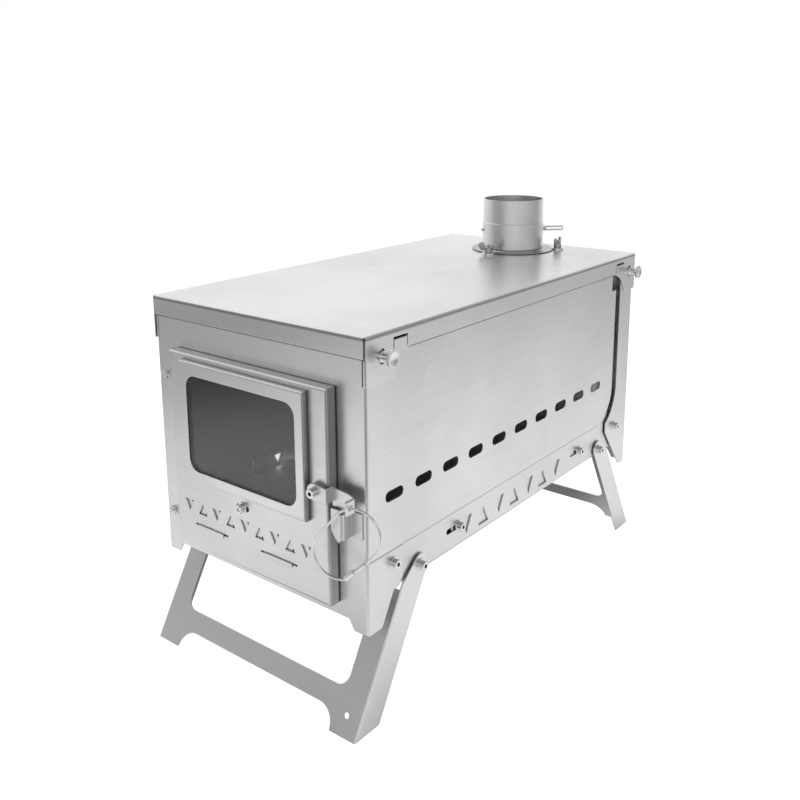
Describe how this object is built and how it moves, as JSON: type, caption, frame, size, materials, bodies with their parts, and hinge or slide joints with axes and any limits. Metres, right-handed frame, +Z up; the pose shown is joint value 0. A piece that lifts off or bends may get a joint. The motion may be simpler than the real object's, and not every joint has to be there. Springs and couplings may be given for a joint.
{
  "type": "tent wood stove",
  "caption": "Box-shaped sheet-metal tent wood stove on folding legs, with a glazed side-hung door, sliding air shutters, a removable lid and a flue collar with a turning damper.",
  "frame": {"origin": "on the ground under the middle of the lid", "axes": "+X to the right seen from the front, -Y out of the front (the door), +Z up"},
  "size_m": [0.246, 0.442, 0.3408],
  "materials": {
    "sheet": "satin rolled sheet",
    "firebox_sheet": "satin rolled sheet, in shade",
    "fastener": "polished stainless",
    "wire": "drawn wire",
    "window_glass": "clear heat-resistant glass",
    "gasket": "woven glass fibre tape"
  },
  "bodies": {
    "stove": {"lid": "sheet", "casing": "sheet", "rear_panel": "sheet", "bottom_pan": "sheet", "heat_shield_left": "firebox_sheet", "heat_shield_right": "firebox_sheet", "fire_grate": "firebox_sheet", "leg_bolts": "fastener", "leg_nuts": "fastener", "tab_bolts": "fastener", "tab_nuts": "fastener", "bolt_washers": "fastener", "spacer_washers": "fastener", "hinge_brackets": "sheet", "latch_keeper": "sheet", "flue_collar": "sheet", "flue_studs": "fastener", "flue_washers": "fastener", "ear_nuts": "fastener"},
    "door": {"door_tray": "sheet", "window_frame": "sheet", "window_glass": "window_glass", "glass_gasket": "gasket", "hinge_lugs": "sheet", "hinge_pins": "fastener", "latch_screw": "fastener", "latch_spacer": "fastener", "latch_nut": "fastener"},
    "door_air": {"door_shutter": "sheet", "shutter_knob": "fastener", "knob_washer": "fastener", "knob_nut": "fastener"},
    "latch": {"latch_arm": "sheet"},
    "pull_ring": {"wire_loop": "wire", "loop_barrel": "fastener"},
    "side_air_right": {"side_shutter_right": "sheet", "shutter_screws_right": "fastener", "shutter_washers_right": "fastener", "shutter_nuts_right": "fastener"},
    "side_air_left": {"side_shutter_left": "sheet", "shutter_screws_left": "fastener", "shutter_washers_left": "fastener", "shutter_nuts_left": "fastener"},
    "front_legs": {"front_leg_frame": "sheet"},
    "rear_legs": {"rear_leg_frame": "sheet"},
    "damper": {"damper_disc": "sheet", "damper_shaft": "fastener"},
    "nut_front": {"wing_nut_front": "fastener"},
    "nut_right": {"wing_nut_right": "fastener"},
    "nut_left": {"wing_nut_left": "fastener"},
    "screw_front_left": {"ear_screw_front_left": "fastener"},
    "screw_front_right": {"ear_screw_front_right": "fastener"},
    "screw_rear_left": {"ear_screw_rear_left": "fastener"},
    "screw_rear_right": {"ear_screw_rear_right": "fastener"}
  },
  "joints": [
    {"name": "door_hinge", "type": "hinge", "parent": "stove", "child": "door", "pos_m": [-0.0921, -0.208, 0.1725], "axis": [0, 0, -1], "range_deg": [0, 120]},
    {"name": "door_shutter_slide", "type": "slide", "parent": "door", "child": "door_air", "axis": [1, 0, 0], "range_m": [-0.0045, 0.0045]},
    {"name": "latch_pivot", "type": "hinge", "parent": "door", "child": "latch", "pos_m": [0.0726, -0.216, 0.178], "axis": [0, -1, 0], "range_deg": [0, 8]},
    {"name": "ring_swing", "type": "hinge", "parent": "latch", "child": "pull_ring", "pos_m": [0.1033, -0.2139, 0.1735], "axis": [-0.9613, -0.2756, 0], "range_deg": [-4, 85]},
    {"name": "right_shutter_slide", "type": "slide", "parent": "stove", "child": "side_air_right", "axis": [0, 1, 0], "range_m": [-0.014, 0]},
    {"name": "left_shutter_slide", "type": "slide", "parent": "stove", "child": "side_air_left", "axis": [0, 1, 0], "range_m": [-0.005, 0.009]},
    {"name": "front_legs_fold", "type": "hinge", "parent": "stove", "child": "front_legs", "pos_m": [0, -0.143, 0.105], "axis": [1, 0, 0], "range_deg": [0, 115]},
    {"name": "rear_legs_fold", "type": "hinge", "parent": "stove", "child": "rear_legs", "pos_m": [0, 0.143, 0.105], "axis": [-1, 0, 0], "range_deg": [0, 115]},
    {"name": "damper_turn", "type": "hinge", "parent": "stove", "child": "damper", "pos_m": [0, 0.1546, 0.31], "axis": [0.7071, 0.7071, 0], "range_deg": [0, 90]},
    {"name": "wing_nut_front_turn", "type": "hinge", "parent": "stove", "child": "nut_front", "pos_m": [0, 0.11, 0.295], "axis": [0, 0, 1], "continuous": true},
    {"name": "wing_nut_right_turn", "type": "hinge", "parent": "stove", "child": "nut_right", "pos_m": [0.03862, 0.1769, 0.295], "axis": [0, 0, 1], "continuous": true},
    {"name": "wing_nut_left_turn", "type": "hinge", "parent": "stove", "child": "nut_left", "pos_m": [-0.03862, 0.1769, 0.295], "axis": [0, 0, 1], "continuous": true},
    {"name": "ear_screw_front_left_turn", "type": "hinge", "parent": "stove", "child": "screw_front_left", "pos_m": [-0.112, -0.187, 0.274], "axis": [-1, 0, 0], "continuous": true},
    {"name": "ear_screw_front_right_turn", "type": "hinge", "parent": "stove", "child": "screw_front_right", "pos_m": [0.112, -0.187, 0.274], "axis": [1, 0, 0], "continuous": true},
    {"name": "ear_screw_rear_left_turn", "type": "hinge", "parent": "stove", "child": "screw_rear_left", "pos_m": [-0.112, 0.191, 0.274], "axis": [-1, 0, 0], "continuous": true},
    {"name": "ear_screw_rear_right_turn", "type": "hinge", "parent": "stove", "child": "screw_rear_right", "pos_m": [0.112, 0.191, 0.274], "axis": [1, 0, 0], "continuous": true}
  ]
}
